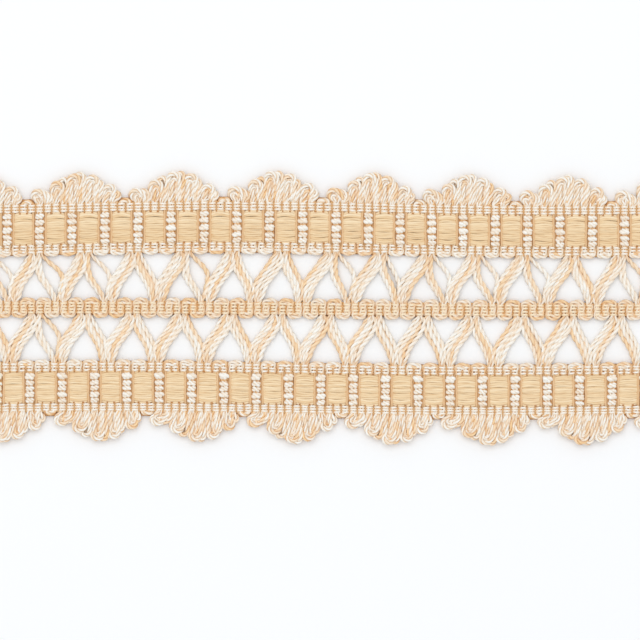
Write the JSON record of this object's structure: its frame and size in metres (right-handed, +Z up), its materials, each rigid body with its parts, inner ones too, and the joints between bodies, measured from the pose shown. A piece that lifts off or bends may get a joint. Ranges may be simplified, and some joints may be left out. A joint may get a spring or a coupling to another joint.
{
  "type": "scalloped braid trim",
  "caption": "Flat cut length of openwork gimp braid: two ribbon headings, zigzag yarn openwork, a middle cord and looped scallop edges.",
  "frame": {"origin": "on the surface that the trim lies on, under the middle of its length and width", "axes": "+X along the trim, +Y across it towards the fringe at the top of the picture, +Z up from its back to its face"},
  "size_m": [0.1556, 0.0634, 0.0021],
  "materials": {
    "marled_yarn": "plied cream and tan yarn with a soft sheen",
    "binding_yarn": "fine tan binder warps over cream weft",
    "satin_ribbon": "smooth beige satin warp threads"
  },
  "bodies": {
    "root": {"fringe_upper": "marled_yarn", "heading_upper": "binding_yarn", "ribbon_upper": "satin_ribbon", "openwork": "marled_yarn", "ribbon_lower": "satin_ribbon", "heading_lower": "binding_yarn", "fringe_lower": "marled_yarn"}
  },
  "joints": []
}
